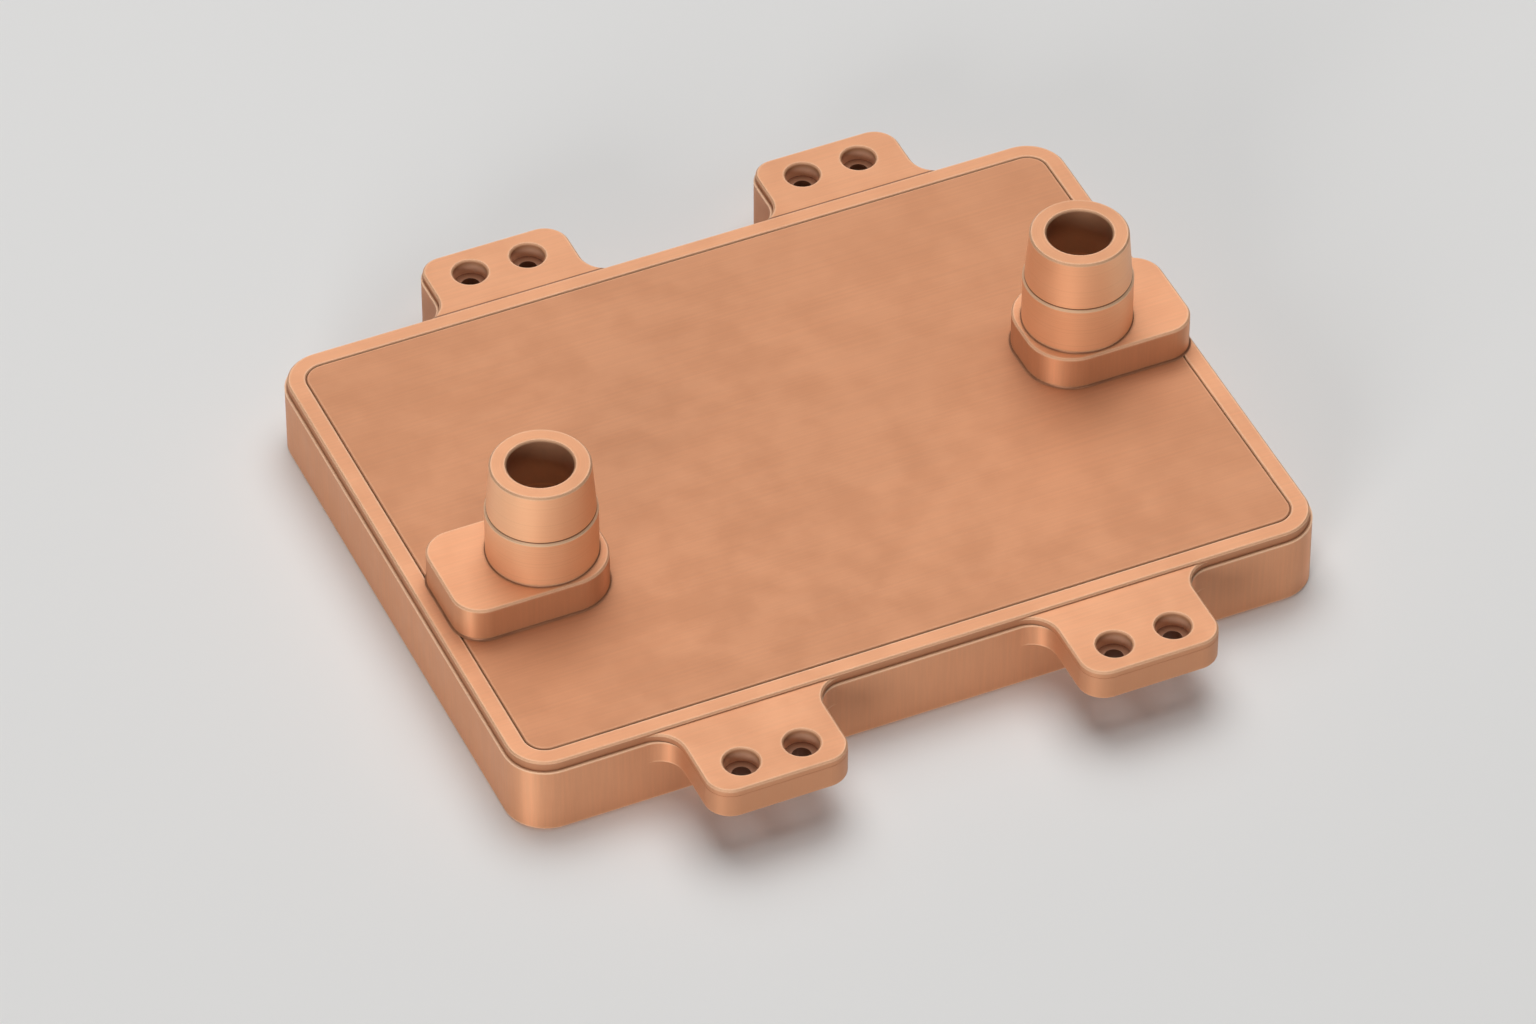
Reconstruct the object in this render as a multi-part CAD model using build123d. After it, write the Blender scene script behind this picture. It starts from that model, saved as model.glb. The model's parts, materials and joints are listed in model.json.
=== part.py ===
from build123d import *
import os

# Brazed copper liquid cold plate. Millimetres, +Z up, the contact face lies on Z = 0.
# The origin is the middle of the contact face and X runs along the long sides.

# Milled body
plate_length = 98.0
plate_depth = 73.0
plate_height = 10.0
corner_radius = 5.0
floor_thickness = 2.6
rebate_width = 0.35
rebate_height = 1.2
rebate_runout = 0.03
rim_width = 2.15
lid_land = 2.0
edge_break = 0.2
foot_break = 0.3

# Mounting ears, two on each long side. The back pair stands closer together and off centre,
# so the plate fits its board one way round only. The front pair is relieved underneath,
# and the back pair goes down to the contact face.
front_ear_spacing = 45.0
front_ear_width = 16.8
front_ear_reach = 11.4
front_ear_thickness = 4.0
back_ear_spacing = 42.0
back_ear_shift = 2.5
back_ear_width = 18.2
back_ear_reach = 9.5
ear_drop = 0.35
ear_corner_radius = 3.0
ear_root_radius = 3.0

# Stepped screw holes, two in each ear
hole_spacing = 7.2
hole_edge_distance = 4.0
screw_bore = 2.2
counterbore = 4.0
counterbore_depth = 1.9

# Cover plate, flush inside the rim
lid_thickness = 1.8
lid_gap = 0.05
seam_break = 0.15

# Chamber: a header at each end, and ribs between parallel channels
chamber_corner_radius = 3.0
header_width = 13.0
rib_count = 5
rib_thickness = 1.6

# Folded fins, one strip in each channel
fin_sheet = 0.2
fin_bend_bevel = 0.15
fin_waves = 3
fin_side_gap = 0.1
fin_end_inset = 1.0

# Port blocks on the cover plate, one near each end
block_width = 13.8
block_height = 4.4
block_reach = 12.3
block_lead = 7.0
block_corner_radius = 3.5
block_lead_radius = 5.4
block_roof = 1.5
inlet_inset = 14.5
inlet_y = -8.6
outlet_inset = 12.9
outlet_y = 1.9
passage_width = 9.4
passage_end_wall = 4.2
lid_slot_margin = 0.5

# Turned hose stubs, seated in the roofs of the port blocks
stub_diameter = 12.7
stub_tip_diameter = 11.4
stub_collar_height = 6.35
stub_height = 12.7
stub_ring_step = 0.2
stub_bore = 7.5
spigot_diameter = 9.0
spigot_gap = 0.03

# Heights and places that follow
ledge_z = plate_height - rebate_height
seat_z = plate_height - lid_thickness
ear_top_z = plate_height - ear_drop
front_ear_bottom_z = ear_top_z - front_ear_thickness
rim_length = plate_length - 2 * rebate_width
rim_depth = plate_depth - 2 * rebate_width
rim_radius = corner_radius - rebate_width
recess_length = rim_length - 2 * rim_width
recess_depth = rim_depth - 2 * rim_width
recess_radius = rim_radius - rim_width
chamber_length = recess_length - 2 * lid_land
chamber_depth = recess_depth - 2 * lid_land
chamber_height = seat_z - floor_thickness
rib_length = chamber_length - 2 * header_width
channel_count = rib_count + 1
channel_width = (chamber_depth - rib_count * rib_thickness) / channel_count
channel_pitch = channel_width + rib_thickness
inlet_x = inlet_inset - plate_length / 2
outlet_x = plate_length / 2 - outlet_inset
block_top_z = plate_height + block_height
passage_reach = block_reach - passage_end_wall


def slab(length, depth, radius, low_z, high_z):
    """Upright slab with rounded corners, centred on the origin."""
    face = RectangleRounded(length, depth, radius)
    return Pos(0, 0, low_z) * extrude(face, high_z - low_z)


def bottom_edges(solid):
    return solid.edges().group_by(Axis.Z)[0]


def top_edges(solid):
    return solid.edges().group_by(Axis.Z)[-1]


def box_face(low_x, high_x, low_y, high_y):
    return Pos((low_x + high_x) / 2, (low_y + high_y) / 2) * Rectangle(high_x - low_x, high_y - low_y)


def ear_face(width, reach, wall_y, left_inset, right_inset, outer_inset):
    """Section of an ear that reaches from the wall at wall_y down to -Y, with concave roots.
    Each inset moves one side in from the full outline."""
    left_x = left_inset - width / 2
    right_x = width / 2 - right_inset
    outer_y = outer_inset - reach
    root_radius = ear_root_radius + wall_y
    back_y = wall_y + ear_root_radius
    backing_reach = 1.5 * root_radius
    tab = box_face(left_x, right_x, outer_y, back_y)
    face = tab + box_face(left_x - backing_reach, right_x + backing_reach, wall_y, back_y)
    roots = face.vertices().group_by(Axis.Y)[1].sort_by(Axis.X)[1:3]
    face = fillet(roots, root_radius)
    left_corner = face.vertices().group_by(Axis.Y)[0].sort_by(Axis.X)[0]
    face = fillet(left_corner, ear_corner_radius - left_inset)
    right_corner = face.vertices().group_by(Axis.Y)[0].sort_by(Axis.X)[-1]
    return fillet(right_corner, ear_corner_radius - right_inset)


def make_ear(width, reach, bottom_z, bottom_break, right_rebate):
    """One ear, with the wall that carries it on Y = 0. The wall's rebate fades out in the root
    on the -X side, and runs on along the +X side with the depth right_rebate."""
    lower_face = ear_face(width, reach, 0, 0, 0, 0)
    upper_face = ear_face(width, reach, rebate_width, rebate_runout, right_rebate, rebate_runout)
    lower = Pos(0, 0, bottom_z) * extrude(lower_face, ledge_z - bottom_z)
    lower = chamfer(bottom_edges(lower), bottom_break)
    upper = Pos(0, 0, ledge_z) * extrude(upper_face, ear_top_z - ledge_z)
    upper = chamfer(top_edges(upper), edge_break)
    return lower + upper


def add_ears(body, ear, reach, places):
    """Joins one pair of ears to the body and drills their holes."""
    hole = stepped_hole()
    hole_y = hole_edge_distance - reach
    for place in places:
        body += place * ear
        for hole_x in (-hole_spacing / 2, hole_spacing / 2):
            body -= place * Pos(hole_x, hole_y) * hole
    return body


def stepped_hole():
    """Cutter for one screw hole, with a broken edge at the ear's top face."""
    through = Pos(0, 0, plate_height / 2) * Cylinder(screw_bore / 2, 2 * plate_height)
    seat = Pos(0, 0, ear_top_z - counterbore_depth) * Cylinder(
        counterbore / 2, counterbore_depth + edge_break, align=(Align.CENTER, Align.CENTER, Align.MIN)
    )
    lip = Pos(0, 0, ear_top_z - edge_break) * Cone(
        counterbore / 2,
        counterbore / 2 + 2 * edge_break,
        2 * edge_break,
        align=(Align.CENTER, Align.CENTER, Align.MIN),
    )
    return through + seat + lip


def make_chamber():
    """Cutter for the coolant chamber, with the ribs left standing."""
    chamber = slab(chamber_length, chamber_depth, chamber_corner_radius, floor_thickness, seat_z)
    rib_face = SlotOverall(rib_length, rib_thickness)
    for number in range(rib_count):
        rib_y = (number - (rib_count - 1) / 2) * channel_pitch
        chamber -= Pos(0, rib_y, floor_thickness) * extrude(rib_face, chamber_height)
    return chamber


def make_body():
    body = slab(plate_length, plate_depth, corner_radius, 0, ledge_z)
    body = chamfer(bottom_edges(body), foot_break)
    rim = slab(rim_length, rim_depth, rim_radius, ledge_z, plate_height)
    body += chamfer(top_edges(rim), edge_break)
    front_ear = make_ear(
        front_ear_width, front_ear_reach, front_ear_bottom_z, edge_break, rebate_runout
    )
    front_places = [Pos(side * front_ear_spacing / 2, -plate_depth / 2) for side in (-1, 1)]
    body = add_ears(body, front_ear, front_ear_reach, front_places)
    back_ear = make_ear(back_ear_width, back_ear_reach, 0, foot_break, rebate_width)
    back_xs = [back_ear_shift + side * back_ear_spacing / 2 for side in (-1, 1)]
    back_places = [Pos(back_x, plate_depth / 2) * Rot(0, 0, 180) for back_x in back_xs]
    body = add_ears(body, back_ear, back_ear_reach, back_places)
    recess = slab(recess_length, recess_depth, recess_radius, seat_z, plate_height)
    body = chamfer_recess_edge(body - recess)
    return body - make_chamber()


def chamfer_recess_edge(body):
    """Breaks the inner edge of the rim, which is one side of the seam around the cover."""
    seam_edges = body.edges().filter_by(on_seam)
    return chamfer(seam_edges, seam_break)


def on_seam(edge):
    middle = edge @ 0.5
    inside = abs(middle.X) <= recess_length / 2 + 0.01 and abs(middle.Y) <= recess_depth / 2 + 0.01
    return inside and abs(middle.Z - plate_height) < 0.01


def make_cover_plate():
    length = recess_length - 2 * lid_gap
    depth = recess_depth - 2 * lid_gap
    cover = slab(length, depth, recess_radius - lid_gap, seat_z, plate_height)
    cover = chamfer(top_edges(cover), seam_break)
    return cover - cover_slot(inlet_x, inlet_y) - cover_slot(outlet_x, outlet_y)


def cover_slot(port_x, port_y):
    """Cutter that joins the passage of one port block to the header below it."""
    outer_x = abs(port_x) + passage_reach - lid_slot_margin
    inner_x = chamber_length / 2 - header_width + lid_slot_margin
    face = SlotOverall(outer_x - inner_x, passage_width - 2 * lid_slot_margin)
    middle_x = (outer_x + inner_x) / 2
    if port_x < 0:
        middle_x = -middle_x
    return Pos(middle_x, port_y, seat_z) * extrude(face, lid_thickness)


def folded_sheet_face(width):
    """Section of the folded sheet: square waves that stand on Y, from 0 to width."""
    wall_count = 2 * fin_waves
    spacing = width / wall_count
    high = chamber_height
    over = [(0, fin_sheet)]
    under = [(0, 0)]
    for number in range(wall_count):
        wall_y = (number + 0.5) * spacing
        rising = number % 2 == 0
        half_sheet = fin_sheet / 2 if rising else -fin_sheet / 2
        over_ends = [fin_sheet, high]
        under_ends = [0, high - fin_sheet]
        if not rising:
            over_ends.reverse()
            under_ends.reverse()
        over += [(wall_y - half_sheet, z) for z in over_ends]
        under += [(wall_y + half_sheet, z) for z in under_ends]
    over.append((width, fin_sheet))
    under.append((width, 0))
    face = make_face(Polyline(*over, *under[::-1], close=True))
    bends = face.vertices().group_by(Axis.Y)[0] + face.vertices().group_by(Axis.Y)[-1]
    inner_bends = [bend for bend in bends if 0 < bend.X < width]
    return chamfer(inner_bends, fin_bend_bevel)


def make_fin_strip(number):
    """Folded sheet whose crests rest on the floor and touch the cover."""
    width = channel_width - 2 * fin_side_gap
    length = rib_length - 2 * fin_end_inset
    channel_y = (number - (channel_count - 1) / 2) * channel_pitch
    section = Plane.YZ * folded_sheet_face(width)
    strip = extrude(section, length)
    return Pos(-length / 2, channel_y - width / 2, floor_thickness) * strip


def make_port_block():
    """Block round the port, which is on the Z axis, with its outer end towards -X."""
    outline = box_face(-block_reach, block_lead, -block_width / 2, block_width / 2)
    outline = fillet(outline.vertices().group_by(Axis.X)[0], block_corner_radius)
    outline = fillet(outline.vertices().group_by(Axis.X)[-1], block_lead_radius)
    block = Pos(0, 0, plate_height) * extrude(outline, block_height)
    block = chamfer(top_edges(block), edge_break)
    passage_face = SlotOverall(passage_reach + passage_width / 2, passage_width)
    passage_x = (passage_width / 2 - passage_reach) / 2
    passage = Pos(passage_x, 0, plate_height) * extrude(passage_face, block_height - block_roof)
    seat_radius = spigot_diameter / 2 + spigot_gap
    seat = Pos(0, 0, plate_height) * extrude(Circle(seat_radius), block_height)
    return block - passage - seat


def make_hose_stub():
    """Turned stub on the Z axis: a collar, a ring step and a tapered nose over a spigot."""
    bore = stub_bore / 2
    spigot = spigot_diameter / 2
    collar = stub_diameter / 2
    shoulder = collar - stub_ring_step
    tip = stub_tip_diameter / 2
    profile = Polyline(
        (bore, -block_roof),
        (spigot, -block_roof),
        (spigot, 0),
        (collar, 0),
        (collar, stub_collar_height - stub_ring_step),
        (shoulder, stub_collar_height),
        (tip, stub_height - edge_break),
        (tip - edge_break, stub_height),
        (bore + edge_break, stub_height),
        (bore, stub_height - edge_break),
        close=True,
    )
    stub = revolve(Plane.XZ * make_face(profile), Axis.Z)
    return Pos(0, 0, block_top_z) * stub


def make_parts():
    parts = {"body": make_body(), "cover_plate": make_cover_plate()}
    for number in range(channel_count):
        parts[f"fin_strip_{number + 1}"] = make_fin_strip(number)
    block = make_port_block()
    stub = make_hose_stub()
    inlet_place = Pos(inlet_x, inlet_y)
    outlet_place = Pos(outlet_x, outlet_y) * Rot(0, 0, 180)
    parts["inlet_block"] = inlet_place * block
    parts["outlet_block"] = outlet_place * block
    parts["inlet_stub"] = inlet_place * stub
    parts["outlet_stub"] = outlet_place * stub
    return parts


def main():
    os.makedirs("parts", exist_ok=True)
    for name, part in make_parts().items():
        part.label = name
        export_step(part, f"parts/{name}.step")


main()
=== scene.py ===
import json
import math

import bpy
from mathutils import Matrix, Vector


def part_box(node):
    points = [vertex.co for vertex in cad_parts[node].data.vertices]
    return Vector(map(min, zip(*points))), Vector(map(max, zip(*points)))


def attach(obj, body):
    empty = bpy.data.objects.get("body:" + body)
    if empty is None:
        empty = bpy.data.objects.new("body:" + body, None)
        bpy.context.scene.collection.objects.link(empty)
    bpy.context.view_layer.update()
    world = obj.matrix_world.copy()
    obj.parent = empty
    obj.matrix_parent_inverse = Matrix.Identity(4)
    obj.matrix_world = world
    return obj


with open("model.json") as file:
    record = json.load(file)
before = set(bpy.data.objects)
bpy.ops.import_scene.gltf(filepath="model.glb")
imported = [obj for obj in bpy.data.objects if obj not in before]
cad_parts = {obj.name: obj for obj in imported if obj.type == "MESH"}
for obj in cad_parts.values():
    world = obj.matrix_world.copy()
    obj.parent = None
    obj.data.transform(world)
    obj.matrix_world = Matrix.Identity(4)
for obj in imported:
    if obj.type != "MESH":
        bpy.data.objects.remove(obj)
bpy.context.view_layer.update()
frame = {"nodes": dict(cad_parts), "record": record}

nodes = frame["nodes"]
mounts = {mount["name"]: mount for mount in frame["record"]["mounts"]}
print("frame loaded, nodes:", len(nodes))


# Camera: a long lens that looks down on the plate from the front left

cameraView = {
    "azimuth": -24.105,  # degrees round from the front, negative is to the left
    "elevation": 43.158,
    "distance": 1.0099,
    "lens": 209.78,
    "sensor": 36,
    "aim": (-0.004926, -0.003678, 0.004274),
    "nearest": 0.01,
    "farthest": 50,
}


def outwards(view):
    # direction from the plate to a camera or a lamp
    azimuth = math.radians(view["azimuth"])
    elevation = math.radians(view["elevation"])
    flat = math.cos(elevation)
    return Vector((math.sin(azimuth) * flat, -math.cos(azimuth) * flat, math.sin(elevation)))


def addAimed(name, data, place, direction):
    # a camera or a lamp that looks back along the direction
    item = bpy.data.objects.new(name, data)
    bpy.context.scene.collection.objects.link(item)
    item.location = place
    item.rotation_euler = (-direction).to_track_quat("-Z", "Y").to_euler()
    return item


def makeCamera():
    data = bpy.data.cameras.new("camera")
    data.lens = cameraView["lens"]
    data.sensor_width = cameraView["sensor"]
    data.clip_start = cameraView["nearest"]
    data.clip_end = cameraView["farthest"]
    direction = outwards(cameraView)
    place = Vector(cameraView["aim"]) + direction * cameraView["distance"]
    bpy.context.scene.camera = addAimed("camera", data, place, direction)


makeCamera()
print("camera placed")


# Node helpers: each takes sockets or plain values and gives back a socket

def addNode(tree, kind, **settings):
    node = tree.nodes.new(kind)
    for name, value in settings.items():
        setattr(node, name, value)
    return node


def feed(tree, socket, value):
    if isinstance(value, bpy.types.NodeSocket):
        tree.links.new(value, socket)
    else:
        socket.default_value = value


def calc(tree, operation, first, second=0.0):
    node = addNode(tree, "ShaderNodeMath", operation=operation)
    feed(tree, node.inputs[0], first)
    feed(tree, node.inputs[1], second)
    return node.outputs[0]


def product(tree, first, *others):
    for other in others:
        first = calc(tree, "MULTIPLY", first, other)
    return first


def inverse(tree, mask):
    return calc(tree, "SUBTRACT", 1.0, mask)


def remap(tree, value, low, high, newLow=0.0, newHigh=1.0):
    node = addNode(tree, "ShaderNodeMapRange", interpolation_type="SMOOTHSTEP")
    feed(tree, node.inputs[0], value)
    for socket, number in zip(node.inputs[1:5], (low, high, newLow, newHigh)):
        feed(tree, socket, number)
    return node.outputs[0]


def band(tree, value, low, high, soft):
    # 1 between low and high, and 0 outside
    above = remap(tree, value, low - soft, low + soft)
    below = remap(tree, value, high + soft, high - soft)
    return product(tree, above, below)


def mixColors(tree, amount, first, second, way="MIX"):
    node = addNode(tree, "ShaderNodeMix", data_type="RGBA", blend_type=way)
    feed(tree, node.inputs[0], amount)
    feed(tree, node.inputs[6], first)
    feed(tree, node.inputs[7], second)
    return node.outputs[2]


def mixValues(tree, amount, first, second):
    node = addNode(tree, "ShaderNodeMix", data_type="FLOAT")
    feed(tree, node.inputs[0], amount)
    feed(tree, node.inputs[2], first)
    feed(tree, node.inputs[3], second)
    return node.outputs[0]


def placed(tree, vector, scale=(1, 1, 1), shift=(0, 0, 0)):
    node = addNode(tree, "ShaderNodeMapping")
    feed(tree, node.inputs["Vector"], vector)
    node.inputs["Scale"].default_value = scale
    node.inputs["Location"].default_value = shift
    return node.outputs[0]


def cloud(tree, vector, detail=2.0, roughness=0.5):
    # the vector is scaled before it comes in
    node = addNode(tree, "ShaderNodeTexNoise")
    feed(tree, node.inputs["Vector"], vector)
    node.inputs["Scale"].default_value = 1.0
    node.inputs["Detail"].default_value = detail
    node.inputs["Roughness"].default_value = roughness
    return node.outputs[0]


def partOf(tree, vector, axis):
    apart = addNode(tree, "ShaderNodeSeparateXYZ")
    feed(tree, apart.inputs[0], vector)
    return apart.outputs[axis]


def alongX(tree, value):
    line = addNode(tree, "ShaderNodeCombineXYZ")
    feed(tree, line.inputs[0], value)
    return line.outputs[0]


def flatDistance(tree, vector, centre):
    moved = placed(tree, vector, (1, 1, 0), (-centre[0], -centre[1], 0))
    node = addNode(tree, "ShaderNodeVectorMath", operation="LENGTH")
    feed(tree, node.inputs[0], moved)
    return node.outputs["Value"]


def openness(tree, reach, inside=False):
    # falls below 1 in a corner or, seen from inside the metal, along an edge
    node = addNode(tree, "ShaderNodeAmbientOcclusion", samples=5, inside=inside, only_local=inside)
    node.inputs["Distance"].default_value = reach
    return node.outputs["AO"]


def startMaterial(name):
    material = bpy.data.materials.new(name)
    material.use_nodes = True
    tree = material.node_tree
    tree.nodes.clear()
    shader = addNode(tree, "ShaderNodeBsdfPrincipled")
    output = addNode(tree, "ShaderNodeOutputMaterial")
    tree.links.new(shader.outputs[0], output.inputs[0])
    return material, tree, shader


# What all the copper finishes share: soft blotches, painted shading on walls, a painted highlight halfway
# round corners, worn edges with a painted highlight, tarnish with painted shade in corners, gloss

finishRanges = {
    # where each mask begins and where it is full
    "blotches": (0.3, 0.7),
    "streaks": (0.3, 0.7),
    "walls": (0.85, 0.35),  # upward part of the normal
    "wornAndHighlighted": (0.985, 0.82),
    "tarnishedAndShaded": (0.8, 0.45),
    "notUnder": (-0.9, -0.6),  # upward part of the normal
    "offFloor": (0.0006, 0.0016),
    "smudges": (0.3, 0.7),
    "glossMarks": (0.2, 0.8),
}
glossLook = {
    "smudges": (160, 160, 160),  # per metre
    "smoother": 0.05,
    "rougher": 0.06,
    "marks": 0.03,
    "wornGloss": 0.08,
}
cornerSharpness = 10.0  # the higher, the narrower the painted highlight on a corner


def surfaceInputs(tree):
    coordinates = addNode(tree, "ShaderNodeTexCoord")
    upward = partOf(tree, coordinates.outputs["Normal"], "Z")
    return coordinates.outputs["Object"], upward


def paintedCornerHighlight(tree):
    # 1 where an upright wall is halfway round a square corner, where a highlight is painted onto it
    normal = addNode(tree, "ShaderNodeTexCoord").outputs["Normal"]
    both = product(tree, partOf(tree, normal, "X"), partOf(tree, normal, "Y"))
    halfway = product(tree, calc(tree, "ABSOLUTE", both), 2.0)
    return calc(tree, "POWER", halfway, cornerSharpness)


def baseTone(tree, look, place, upward, marks):
    blotches = cloud(tree, placed(tree, place, look["blotches"]))
    onBlotch = remap(tree, blotches, *finishRanges["blotches"])
    tone = mixColors(tree, onBlotch, look["darkTone"], look["lightTone"])
    # walls get their own tone, which is painted shading: darker than the tops on the tray and blocks,
    # lighter on the stubs
    wallShadingTone = mixColors(tree, paintedCornerHighlight(tree), look["wallShadingTone"], look["cornerHighlightTone"])
    tone = mixColors(tree, remap(tree, upward, *finishRanges["walls"]), tone, wallShadingTone)
    streaks = remap(tree, marks, *finishRanges["streaks"], 1 - look["streaks"], 1 + look["streaks"])
    return mixColors(tree, 1.0, tone, streaks, "MULTIPLY")


def wornEdgesAndHighlights(tree, look, unworn):
    # real edge wear, also lightened to paint a highlight line along each edge
    inside = openness(tree, look["wearReach"], inside=True)
    wearAndHighlight = remap(tree, inside, *finishRanges["wornAndHighlighted"], 0.0, look["wearAndHighlight"])
    return product(tree, wearAndHighlight, inverse(tree, unworn))


def tarnishAndShadeInCorners(tree, look, place, upward, spared):
    # tarnish in corners and creases, darkened further as painted shade where surfaces meet
    outside = openness(tree, look["tarnishAndShadeReach"])
    tarnishAndShade = remap(tree, outside, *finishRanges["tarnishedAndShaded"], 0.0, look["tarnishAndShade"])
    notUnder = remap(tree, upward, *finishRanges["notUnder"])
    offFloor = remap(tree, partOf(tree, place, "Z"), *finishRanges["offFloor"])
    return product(tree, tarnishAndShade, notUnder, offFloor, inverse(tree, spared))


def glossOf(tree, look, place, marks, wearAndHighlight):
    smooth = look["roughness"] - glossLook["smoother"]
    rough = look["roughness"] + glossLook["rougher"]
    change = glossLook["marks"]
    smudges = cloud(tree, placed(tree, place, glossLook["smudges"]), detail=4.0, roughness=0.6)
    gloss = remap(tree, smudges, *finishRanges["smudges"], smooth, rough)
    gloss = calc(tree, "ADD", gloss, remap(tree, marks, *finishRanges["glossMarks"], -change, change))
    return calc(tree, "SUBTRACT", gloss, product(tree, wearAndHighlight, glossLook["wornGloss"]))


def finishCopper(tree, shader, look, place, upward, marks, spared=0.0, unworn=0.0):
    # spared and unworn: where the tarnish with its painted shade, and the wear with its painted highlight,
    # are kept off
    wearAndHighlight = wornEdgesAndHighlights(tree, look, unworn)
    tone = baseTone(tree, look, place, upward, marks)
    # worn edges, lightened as well into a painted highlight
    tone = mixColors(tree, wearAndHighlight, tone, look["wornAndHighlightTone"])
    # tarnish, darkened as well into painted shade in the corners
    tarnishAndShade = tarnishAndShadeInCorners(tree, look, place, upward, spared)
    tone = mixColors(tree, tarnishAndShade, tone, look["tarnishAndShadeTone"])

    bump = addNode(tree, "ShaderNodeBump")
    bump.inputs["Strength"].default_value = look["bumpStrength"]
    bump.inputs["Distance"].default_value = look["bumpDepth"]
    feed(tree, bump.inputs["Height"], marks)

    metallic = mixValues(tree, wearAndHighlight, look["metallic"], look["wornMetallic"])
    feed(tree, shader.inputs["Base Color"], tone)
    feed(tree, shader.inputs["Roughness"], glossOf(tree, look, place, marks, wearAndHighlight))
    feed(tree, shader.inputs["Normal"], bump.outputs[0])
    feed(tree, shader.inputs["Metallic"], metallic)


def recolor(tree, shader, amount, tone):
    before = shader.inputs["Base Color"].links[0].from_socket
    feed(tree, shader.inputs["Base Color"], mixColors(tree, amount, before, tone))


# Marks of the tools: straight passes on tops, upright cutter marks on walls

markRanges = {
    # upward part of the normal, from one kind of mark to the next
    "tops": (0.5, 0.8),
    "underside": (-0.5, -0.8),
}


def straightMarks(tree, place, fine, long):
    return cloud(tree, placed(tree, place, (long, fine, fine)), detail=3.0, roughness=0.6)


def wallMarks(tree, place, fine, long):
    return cloud(tree, placed(tree, place, (fine, fine, long)), detail=2.0, roughness=0.6)


def sweptMarks(tree, place, centre, fine):
    radius = flatDistance(tree, place, centre)
    return cloud(tree, alongX(tree, product(tree, radius, fine)), detail=3.0, roughness=0.6)


def cutterMarks(tree, look, place, upward):
    walls = wallMarks(tree, place, *look["wallMarks"])
    tops = straightMarks(tree, place, *look["topMarks"])
    return mixValues(tree, remap(tree, upward, *markRanges["tops"]), walls, tops)


# Milled tray: painted shade on its rebate wall, ear walls, crease and screw holes, and painted light low on
# the holes' walls

rebateLook = {
    # painted shade on the rebate wall
    "tone": (0.52, 0.235, 0.12, 1),
    "amount": 0.85,
    "heights": (0.00882, 0.00978),
    "soft": 0.00004,
    "walls": (0.6, 0.3),  # upward part of the normal
    "frontFade": (-0.0375, -0.039),  # it fades out in the roots of the front ears
    "ledgeHeights": (0.00872, 0.00892),  # beyond there a thin ledge goes on at its lower edge
    "ledgeSoft": 0.00002,
    "ledgeSpared": 0.7,  # share of the tarnish and painted shade that is kept off the ledge
    "unwornHeights": (0.00842, 0.00912),
    "unwornSoft": 0.0001,
}


def beyondRebate(tree, place):
    return remap(tree, partOf(tree, place, "Y"), *rebateLook["frontFade"])


def onLedge(tree, height, beyond):
    across = band(tree, height, *rebateLook["ledgeHeights"], rebateLook["ledgeSoft"])
    return product(tree, beyond, across, rebateLook["ledgeSpared"])


def nearLedge(tree, height, beyond):
    return product(tree, beyond, band(tree, height, *rebateLook["unwornHeights"], rebateLook["unwornSoft"]))


def paintRebateShade(tree, shader, upward, height, beyond):
    across = band(tree, height, *rebateLook["heights"], rebateLook["soft"])
    onWall = remap(tree, upward, *rebateLook["walls"])
    amount = product(tree, across, onWall, inverse(tree, beyond), rebateLook["amount"])
    recolor(tree, shader, amount, rebateLook["tone"])


# painted shade on the walls of the front ears
earWallShadeLook = {
    "tone": (0.6, 0.278, 0.142, 1),
    "amount": 0.7,
    "walls": (0.5, 0.3),
}


def paintEarWallShade(tree, shader, upward, beyond):
    onWall = remap(tree, upward, *earWallShadeLook["walls"])
    recolor(tree, shader, product(tree, beyond, onWall, earWallShadeLook["amount"]), earWallShadeLook["tone"])


creaseShadeLook = {
    # a painted shade line on top of the back ears, along the foot of the rim
    "tone": (0.2, 0.085, 0.045, 1),
    "amount": 0.8,
    "depths": (0.0360, 0.03652),
    "depthSoft": 0.00006,
    "heights": (0.0094, 0.0098),
    "heightSoft": 0.00003,
    "tops": (0.85, 0.98),
}


def paintCreaseShade(tree, shader, place, upward, height):
    along = band(tree, partOf(tree, place, "Y"), *creaseShadeLook["depths"], creaseShadeLook["depthSoft"])
    onEar = band(tree, height, *creaseShadeLook["heights"], creaseShadeLook["heightSoft"])
    onTop = remap(tree, upward, *creaseShadeLook["tops"])
    recolor(tree, shader, product(tree, along, onEar, onTop, creaseShadeLook["amount"]), creaseShadeLook["tone"])


holeShadeLook = {
    "radius": 0.002,  # of the counterbore
    "edge": (0.00012, 0.00003),  # past that radius, where its tone begins and is full
    "tone": (0.45, 0.215, 0.11, 1),  # painted shade on the hole's wall, at the mouth
    "deepLightTone": (1.0, 0.66, 0.46, 1),  # painted light on the hole's wall, down by the seat
    "heights": (0.0084, 0.0094),
    "amount": 0.9,
    "metallic": 0.0,
    # painted shade on the seat and in the screw's own hole
    "seatShadeTone": (0.33, 0.14, 0.068, 1),
    "seatHeights": (0.0075, 0.0079),
    "seatSoft": 0.00003,
    "seatTops": (0.6, 0.9),
    "screwShadeTone": (0.26, 0.13, 0.075, 1),
    "screwEdge": (0.00005, 0.00002),  # the same, for the screw's own hole under the seat
}


earHoles = [mount for mount in mounts.values() if mount["kind"] == "bolt_pattern"]
screwRadius = earHoles[0]["dims"]["hole_r_mm"] / 1000


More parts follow.
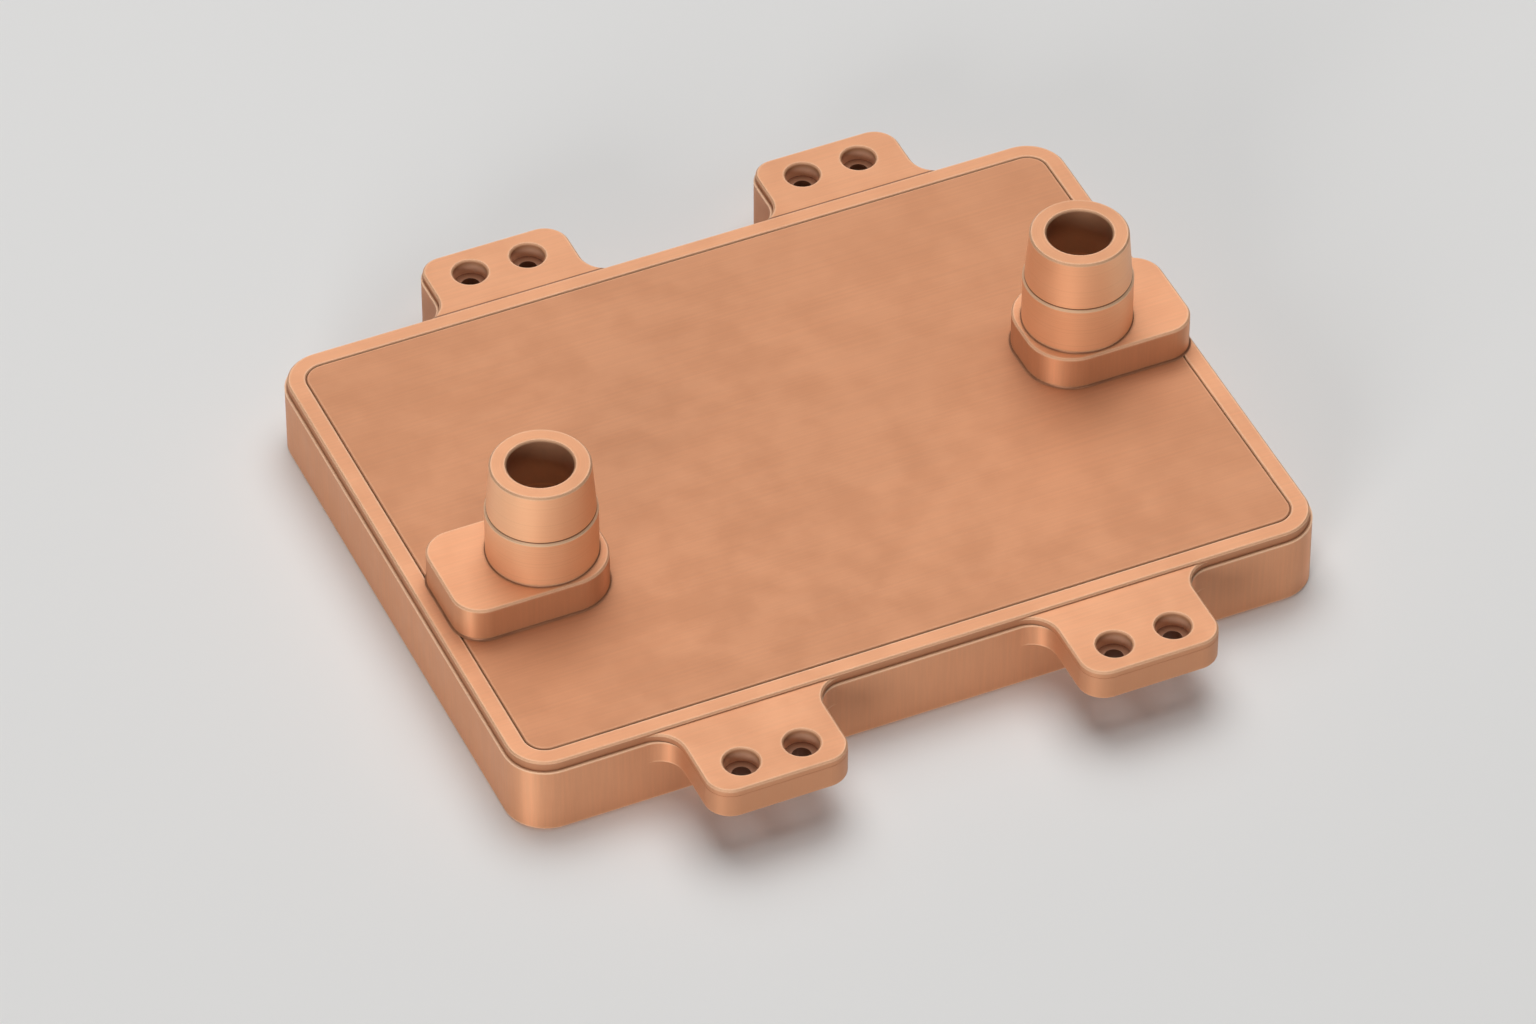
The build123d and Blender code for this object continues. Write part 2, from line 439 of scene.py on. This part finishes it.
def holeDistance(tree, place):
    # distance to the nearest screw axis, two axes in each ear
    nearest = 1.0
    for mount in earHoles:
        x, y = mount["pos_m"][:2]
        folded = addNode(tree, "ShaderNodeVectorMath", operation="ABSOLUTE")
        feed(tree, folded.inputs[0], placed(tree, place, (1, 1, 0), (-x, -y, 0)))
        half = mount["dims"]["spacing_x_mm"] / 2000
        nearest = calc(tree, "MINIMUM", nearest, flatDistance(tree, folded.outputs[0], (half, 0)))
    return nearest


def within(tree, distance, radius, edge):
    return remap(tree, distance, radius + edge[0], radius + edge[1])


def paintHoleShadeAndLight(tree, shader, upward, height, distance, inHole):
    # paints shade into the holes, and light low on their walls
    upHole = remap(tree, height, *holeShadeLook["heights"])
    tone = mixColors(tree, upHole, holeShadeLook["deepLightTone"], holeShadeLook["tone"])
    recolor(tree, shader, product(tree, inHole, holeShadeLook["amount"]), tone)
    facingUp = remap(tree, upward, *holeShadeLook["seatTops"])
    atSeat = band(tree, height, *holeShadeLook["seatHeights"], holeShadeLook["seatSoft"])
    recolor(tree, shader, product(tree, inHole, facingUp, atSeat), holeShadeLook["seatShadeTone"])
    metallic = shader.inputs["Metallic"].links[0].from_socket
    feed(tree, shader.inputs["Metallic"], mixValues(tree, inHole, metallic, holeShadeLook["metallic"]))
    inScrew = within(tree, distance, screwRadius, holeShadeLook["screwEdge"])
    recolor(tree, shader, inScrew, holeShadeLook["screwShadeTone"])


milledLook = {
    "lightTone": (0.79, 0.39, 0.21, 1),
    "darkTone": (0.75, 0.367, 0.197, 1),
    "blotches": (26, 40, 40),  # per metre
    # painted shade: walls darker than the tops, with a painted highlight halfway round each corner
    "wallShadingTone": (0.71, 0.338, 0.178, 1),
    "cornerHighlightTone": (0.93, 0.46, 0.248, 1),
    "wornAndHighlightTone": (1.0, 0.66, 0.42, 1),
    "tarnishAndShadeTone": (0.09, 0.032, 0.015, 1),
    "streaks": 0.03,
    "wearAndHighlight": 0.85,
    "wearReach": 0.0003,
    "tarnishAndShade": 0.85,
    "tarnishAndShadeReach": 0.0006,
    "roughness": 0.56,
    "bumpStrength": 0.25,
    "bumpDepth": 0.00003,
    "metallic": 0.5,
    "wornMetallic": 0.1,
    "topMarks": (3600, 90),  # per metre, across the marks and along them
    "wallMarks": (3200, 120),
    "underMarks": 3000,
    "cutterCentre": (0.03, -0.16),  # where the cutter that faced the underside turned
}


def milledCopper():
    material, tree, shader = startMaterial("milledCopper")
    place, upward = surfaceInputs(tree)
    height = partOf(tree, place, "Z")
    marks = cutterMarks(tree, milledLook, place, upward)
    under = sweptMarks(tree, place, milledLook["cutterCentre"], milledLook["underMarks"])
    marks = mixValues(tree, remap(tree, upward, *markRanges["underside"]), marks, under)

    distance = holeDistance(tree, place)
    inHole = within(tree, distance, holeShadeLook["radius"], holeShadeLook["edge"])
    beyond = beyondRebate(tree, place)
    spared = calc(tree, "MAXIMUM", inHole, onLedge(tree, height, beyond))
    unworn = nearLedge(tree, height, beyond)
    finishCopper(tree, shader, milledLook, place, upward, marks, spared, unworn)

    paintRebateShade(tree, shader, upward, height, beyond)
    paintEarWallShade(tree, shader, upward, beyond)
    paintCreaseShade(tree, shader, place, upward, height)
    paintHoleShadeAndLight(tree, shader, upward, height, distance, inHole)
    return material


coverLook = {
    "lightTone": (0.643, 0.299, 0.154, 1),
    "darkTone": (0.606, 0.28, 0.143, 1),
    "blotches": (22, 34, 34),  # per metre
    "wallShadingTone": (0.66, 0.3, 0.15, 1),
    "cornerHighlightTone": (0.66, 0.3, 0.15, 1),
    "wornAndHighlightTone": (0.95, 0.56, 0.34, 1),
    "tarnishAndShadeTone": (0.08, 0.029, 0.013, 1),
    "streaks": 0.035,
    "wearAndHighlight": 0.5,
    "wearReach": 0.0003,
    "tarnishAndShade": 0.85,
    "tarnishAndShadeReach": 0.0006,
    "roughness": 0.58,
    "bumpStrength": 0.22,
    "bumpDepth": 0.00003,
    "metallic": 0.5,
    "wornMetallic": 0.1,
    "topMarks": (3000, 50),  # per metre, across the marks and along them
}


def coverCopper():
    material, tree, shader = startMaterial("coverCopper")
    place, upward = surfaceInputs(tree)
    marks = straightMarks(tree, place, *coverLook["topMarks"])
    finishCopper(tree, shader, coverLook, place, upward, marks)
    return material


blockLook = {
    "lightTone": (0.84, 0.418, 0.226, 1),
    "darkTone": (0.805, 0.397, 0.213, 1),
    "blotches": (26, 40, 40),  # per metre
    # painted shade: walls darker than the tops, with a painted highlight halfway round each corner
    "wallShadingTone": (0.65, 0.295, 0.148, 1),
    "cornerHighlightTone": (0.96, 0.49, 0.268, 1),
    "wornAndHighlightTone": (1.0, 0.66, 0.42, 1),
    "tarnishAndShadeTone": (0.14, 0.048, 0.02, 1),
    "streaks": 0.03,
    "wearAndHighlight": 0.85,
    "wearReach": 0.0003,
    "tarnishAndShade": 0.85,
    "tarnishAndShadeReach": 0.0006,
    "roughness": 0.56,
    "bumpStrength": 0.25,
    "bumpDepth": 0.00003,
    "metallic": 0.5,
    "wornMetallic": 0.1,
    "topMarks": (3600, 90),  # per metre, across the marks and along them
    "wallMarks": (3200, 120),
}


def blockCopper():
    material, tree, shader = startMaterial("blockCopper")
    place, upward = surfaceInputs(tree)
    marks = cutterMarks(tree, blockLook, place, upward)
    finishCopper(tree, shader, blockLook, place, upward, marks)
    return material


finLook = {
    "lightTone": (0.8, 0.4, 0.22, 1),
    "darkTone": (0.72, 0.35, 0.19, 1),
    "blotches": (30, 30, 30),  # per metre
    "wallShadingTone": (0.74, 0.36, 0.2, 1),
    "cornerHighlightTone": (0.74, 0.36, 0.2, 1),
    "wornAndHighlightTone": (0.9, 0.5, 0.3, 1),
    "tarnishAndShadeTone": (0.3, 0.12, 0.06, 1),
    "streaks": 0.05,
    "wearAndHighlight": 0.2,
    "wearReach": 0.0001,
    "tarnishAndShade": 0.4,
    "tarnishAndShadeReach": 0.0005,
    "roughness": 0.38,
    "bumpStrength": 0.2,
    "bumpDepth": 0.00002,
    "metallic": 0.9,
    "wornMetallic": 0.9,
    "rollingMarks": (5000, 40),  # per metre, they run along the strip
}


def finCopper():
    material, tree, shader = startMaterial("finCopper")
    place, upward = surfaceInputs(tree)
    marks = straightMarks(tree, place, *finLook["rollingMarks"])
    finishCopper(tree, shader, finLook, place, upward, marks)
    return material


stubLook = {
    "lightTone": (0.69, 0.345, 0.187, 1),
    "darkTone": (0.655, 0.325, 0.176, 1),
    "blotches": (26, 40, 40),  # per metre
    # painted light: walls lighter than the tops, where little light reaches them
    "wallShadingTone": (1.0, 0.56, 0.32, 1),
    "cornerHighlightTone": (1.0, 0.56, 0.32, 1),
    "wornAndHighlightTone": (1.0, 0.66, 0.42, 1),
    "tarnishAndShadeTone": (0.14, 0.048, 0.02, 1),
    "streaks": 0.05,
    "wearAndHighlight": 0.85,
    "wearReach": 0.0003,
    "tarnishAndShade": 0.85,
    "tarnishAndShadeReach": 0.0006,
    "roughness": 0.52,
    "bumpStrength": 0.35,
    "bumpDepth": 0.00003,
    "metallic": 0.7,
    "wornMetallic": 0.1,
    "latheMarks": 4200,  # per metre
    "boreMouthShadeTone": (0.5, 0.265, 0.15, 1),  # painted shade at the mouth
    # painted light deeper down in the bore
    "boreDeepTone": (0.86, 0.56, 0.36, 1),
    "boreDepths": (0.001, 0.0045),  # below the mouth, where one passes into the other
    "boreEdge": (0.00012, 0.00002),  # past the bore's radius, where its tone begins and is full
    "ringHighlight": (0.02045, 0.02074),  # painted highlight on the step's edge, from and to above the contact face
    "ringShadeLine": (0.02076, 0.02092),  # the painted shade line over it
    "ringSoft": 0.00003,
    "ringOutside": (0.0008, 0.0012),  # past the bore's radius, so that the line stays out of it
    "ringAmount": 0.9,
}


def paintBoreShadeAndLight(tree, shader, radius, depth, boreRadius):
    # paints shade at the bore's mouth and light deeper down
    inBore = within(tree, radius, boreRadius, stubLook["boreEdge"])
    deep = remap(tree, depth, *stubLook["boreDepths"])
    recolor(tree, shader, inBore, mixColors(tree, deep, stubLook["boreMouthShadeTone"], stubLook["boreDeepTone"]))


def paintRingHighlightAndShade(tree, shader, radius, height, boreRadius):
    # paints a highlight on the step's edge and a shade line in the crease over it
    onHighlight = band(tree, height, *stubLook["ringHighlight"], stubLook["ringSoft"])
    recolor(tree, shader, onHighlight, stubLook["wornAndHighlightTone"])
    onShadeLine = band(tree, height, *stubLook["ringShadeLine"], stubLook["ringSoft"])
    outside = within(tree, radius, boreRadius, stubLook["ringOutside"])
    amount = product(tree, onShadeLine, outside, stubLook["ringAmount"])
    recolor(tree, shader, amount, stubLook["tarnishAndShadeTone"])


def turnedCopper(name, node):
    material, tree, shader = startMaterial(name)
    place, upward = surfaceInputs(tree)
    low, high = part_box(node)
    radius = flatDistance(tree, place, (low + high) / 2)
    height = partOf(tree, place, "Z")
    along = calc(tree, "ADD", radius, height)  # grows along the wall and across the face
    lathe = alongX(tree, product(tree, along, stubLook["latheMarks"]))
    marks = cloud(tree, lathe, detail=3.0, roughness=0.65)
    finishCopper(tree, shader, stubLook, place, upward, marks)
    boreRadius = mounts[node + "_bore"]["dims"]["r_mm"] / 1000
    paintBoreShadeAndLight(tree, shader, radius, calc(tree, "SUBTRACT", high.z, height), boreRadius)
    paintRingHighlightAndShade(tree, shader, radius, height, boreRadius)
    return material


brazeLook = {
    "lightTone": (0.42, 0.19, 0.095, 1),
    "darkTone": (0.3, 0.13, 0.065, 1),
    "blotches": (400, 400, 400),  # per metre
    "wallShadingTone": (0.36, 0.16, 0.08, 1),
    "cornerHighlightTone": (0.36, 0.16, 0.08, 1),
    "wornAndHighlightTone": (0.5, 0.25, 0.13, 1),
    "tarnishAndShadeTone": (0.14, 0.05, 0.025, 1),
    "streaks": 0.02,
    "wearAndHighlight": 0.0,
    "wearReach": 0.0001,
    "tarnishAndShade": 0.7,
    "tarnishAndShadeReach": 0.0004,
    "roughness": 0.5,
    "bumpStrength": 0.3,
    "bumpDepth": 0.00003,
    "metallic": 0.5,
    "wornMetallic": 0.1,
    "ripples": (900, 900, 900),  # per metre
}


def brazeCopper():
    material, tree, shader = startMaterial("brazeCopper")
    place, upward = surfaceInputs(tree)
    ripples = cloud(tree, placed(tree, place, brazeLook["ripples"]))
    finishCopper(tree, shader, brazeLook, place, upward, ripples)
    return material


def dressNodes():
    block = blockCopper()
    fin = finCopper()
    finishes = {
        "body": milledCopper(),
        "cover_plate": coverCopper(),
        "inlet_block": block,
        "outlet_block": block,
    }
    for name, node in nodes.items():
        if name.startswith("fin_strip"):
            finish = fin
        elif name.endswith("_stub"):
            finish = turnedCopper("turnedCopper_" + name, name)
        else:
            finish = finishes[name]
        node.material_slots[0].material = finish


dressNodes()
print("finishes made")


# Braze beads: small concave rings at the feet of the port blocks and the hose stubs

beadLook = {
    "blockReach": 0.00022,
    "stubReach": 0.00013,
    "steps": 5,
    "lap": 0.00003,  # how far the bead goes in under the wall it climbs
    "outerCorner": 0.0035,  # corner radii of a block's two ends
    "innerCorner": 0.0054,
    "cornerSteps": 14,
    "circleSteps": 96,
    "rimSlope": 0.00055,  # from the body's outer face in to where the rim's flat top begins
    "weld": 0.000001,
    "smoothAngle": 40,
}
braze = brazeCopper()


def startPiece(name):
    piece = bpy.context.object
    piece.name = name
    piece.data.name = name
    bpy.ops.object.mode_set(mode="EDIT")
    return piece


def pickVertices(piece, test):
    bpy.ops.mesh.select_all(action="DESELECT")
    bpy.ops.object.mode_set(mode="OBJECT")
    for vertex in piece.data.vertices:
        vertex.select = test(vertex.co)
    bpy.ops.object.mode_set(mode="EDIT")


def roundEnd(piece, side, radius):
    bpy.ops.mesh.select_mode(type="VERT")
    pickVertices(piece, lambda spot: spot.x * side > radius / 2)
    bpy.ops.mesh.bevel(offset=radius, segments=beadLook["cornerSteps"], affect="VERTICES")


def faceOutwards():
    bpy.ops.mesh.select_all(action="SELECT")
    bpy.ops.mesh.normals_make_consistent(inside=False)


def growBead(reach):
    # the flat outline becomes a concave slope, then a closed ring
    bpy.ops.mesh.select_all(action="SELECT")
    bpy.ops.mesh.remove_doubles(threshold=beadLook["weld"])
    bpy.ops.mesh.select_mode(type="FACE")
    bpy.ops.mesh.select_all(action="SELECT")
    across, up = reach, 0
    for step in range(1, beadLook["steps"] + 1):
        angle = math.radians(90 * step / beadLook["steps"])
        nextAcross = reach * (1 - math.sin(angle))
        nextUp = reach * (1 - math.cos(angle))
        bpy.ops.mesh.inset(thickness=across - nextAcross, depth=nextUp - up)
        across, up = nextAcross, nextUp
    bpy.ops.mesh.inset(thickness=beadLook["lap"])
    bpy.ops.mesh.extrude_region_move(TRANSFORM_OT_translate={"value": (0, 0, -reach)})
    bpy.ops.mesh.delete(type="FACE")
    bpy.ops.mesh.select_mode(type="EDGE")
    bpy.ops.mesh.select_non_manifold()
    bpy.ops.mesh.bridge_edge_loops()
    faceOutwards()


def moveBead(place):
    bpy.ops.mesh.select_all(action="SELECT")
    bpy.ops.transform.translate(value=place)


def trimBead(outerSide):
    # nothing hangs out over the rim's broken edge
    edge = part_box("body")[1].x - beadLook["rimSlope"]
    bpy.ops.mesh.select_all(action="SELECT")
    bpy.ops.mesh.bisect(
        plane_co=(outerSide * edge, 0, 0),
        plane_no=(outerSide, 0, 0),
        use_fill=True,
        clear_outer=True,
        threshold=beadLook["weld"],
    )
    faceOutwards()


def finishBead(piece):
    bpy.ops.object.mode_set(mode="OBJECT")
    bpy.ops.object.shade_smooth_by_angle(angle=math.radians(beadLook["smoothAngle"]))
    piece.data.materials.append(braze)
    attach(piece, "root")


def makeBlockBead(name, block, stubSide):
    low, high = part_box(block)
    middle = (low + high) / 2
    reach = beadLook["blockReach"]
    length = high.x - low.x + 2 * reach
    width = high.y - low.y + 2 * reach
    bpy.ops.object.select_all(action="DESELECT")
    bpy.ops.mesh.primitive_plane_add(size=1, location=(0, 0, 0))
    piece = startPiece(name)
    bpy.ops.transform.resize(value=(length, width, 1))
    roundEnd(piece, stubSide, beadLook["innerCorner"] + reach)
    roundEnd(piece, -stubSide, beadLook["outerCorner"] + reach)
    growBead(reach)
    moveBead((middle.x, middle.y, low.z))
    trimBead(-stubSide)
    finishBead(piece)


def makeStubBead(name, stub, block):
    low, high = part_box(stub)
    middle = (low + high) / 2
    reach = beadLook["stubReach"]
    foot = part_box(block)[1].z
    bpy.ops.object.select_all(action="DESELECT")
    bpy.ops.mesh.primitive_circle_add(
        vertices=beadLook["circleSteps"],
        radius=(high.x - low.x) / 2 + reach,
        fill_type="NGON",
        location=(0, 0, 0),
    )
    piece = startPiece(name)
    growBead(reach)
    moveBead((middle.x, middle.y, foot))
    finishBead(piece)


makeBlockBead("inletBlockBead", "inlet_block", 1)
makeBlockBead("outletBlockBead", "outlet_block", -1)
makeStubBead("inletStubBead", "inlet_stub", "inlet_block")
makeStubBead("outletStubBead", "outlet_stub", "outlet_block")
print("braze beads made")


# Floor and studio light

floorLook = {
    "size": 8.0,
    "tone": (0.84, 0.835, 0.825, 1),
    "roughness": 0.85,
    "specular": 0.2,
    "drop": 0.00002,  # a hair below the contact face, so that the two don't mix in a view from below
}


def makeFloor():
    bpy.ops.object.select_all(action="DESELECT")
    bpy.ops.mesh.primitive_plane_add(size=floorLook["size"], location=(0, 0, -floorLook["drop"]))
    floor = bpy.context.object
    floor.name = "floor"
    material, tree, shader = startMaterial("floorPaper")
    shader.inputs["Base Color"].default_value = floorLook["tone"]
    shader.inputs["Roughness"].default_value = floorLook["roughness"]
    shader.inputs["Specular IOR Level"].default_value = floorLook["specular"]
    floor.data.materials.append(material)


studioLights = {
    # azimuth and elevation as seen from the plate, in degrees as for the camera
    "overhead": {"azimuth": 150, "elevation": 78, "size": 1.2, "distance": 1.2, "watts": 8.0},
    "back": {"azimuth": 165, "elevation": 60, "size": 1.1, "distance": 1.2, "watts": 4.5},
    "key": {"azimuth": -43, "elevation": 12, "size": 0.5, "distance": 1.2, "watts": 7.4},
}


def makeLights():
    for name, lamp in studioLights.items():
        data = bpy.data.lights.new(name, "AREA")
        data.shape = "DISK"
        data.size = lamp["size"]
        data.energy = lamp["watts"]
        direction = outwards(lamp)
        addAimed(name, data, direction * lamp["distance"], direction)


worldLook = {"tone": (1, 1, 1, 1), "strength": 0.05}


def makeWorld():
    world = bpy.data.worlds.new("studio")
    bpy.context.scene.world = world
    world.use_nodes = True
    background = world.node_tree.nodes["Background"]
    background.inputs["Color"].default_value = worldLook["tone"]
    background.inputs["Strength"].default_value = worldLook["strength"]


makeFloor()
makeLights()
makeWorld()
bpy.context.scene.view_settings.view_transform = "Standard"
print("studio ready")
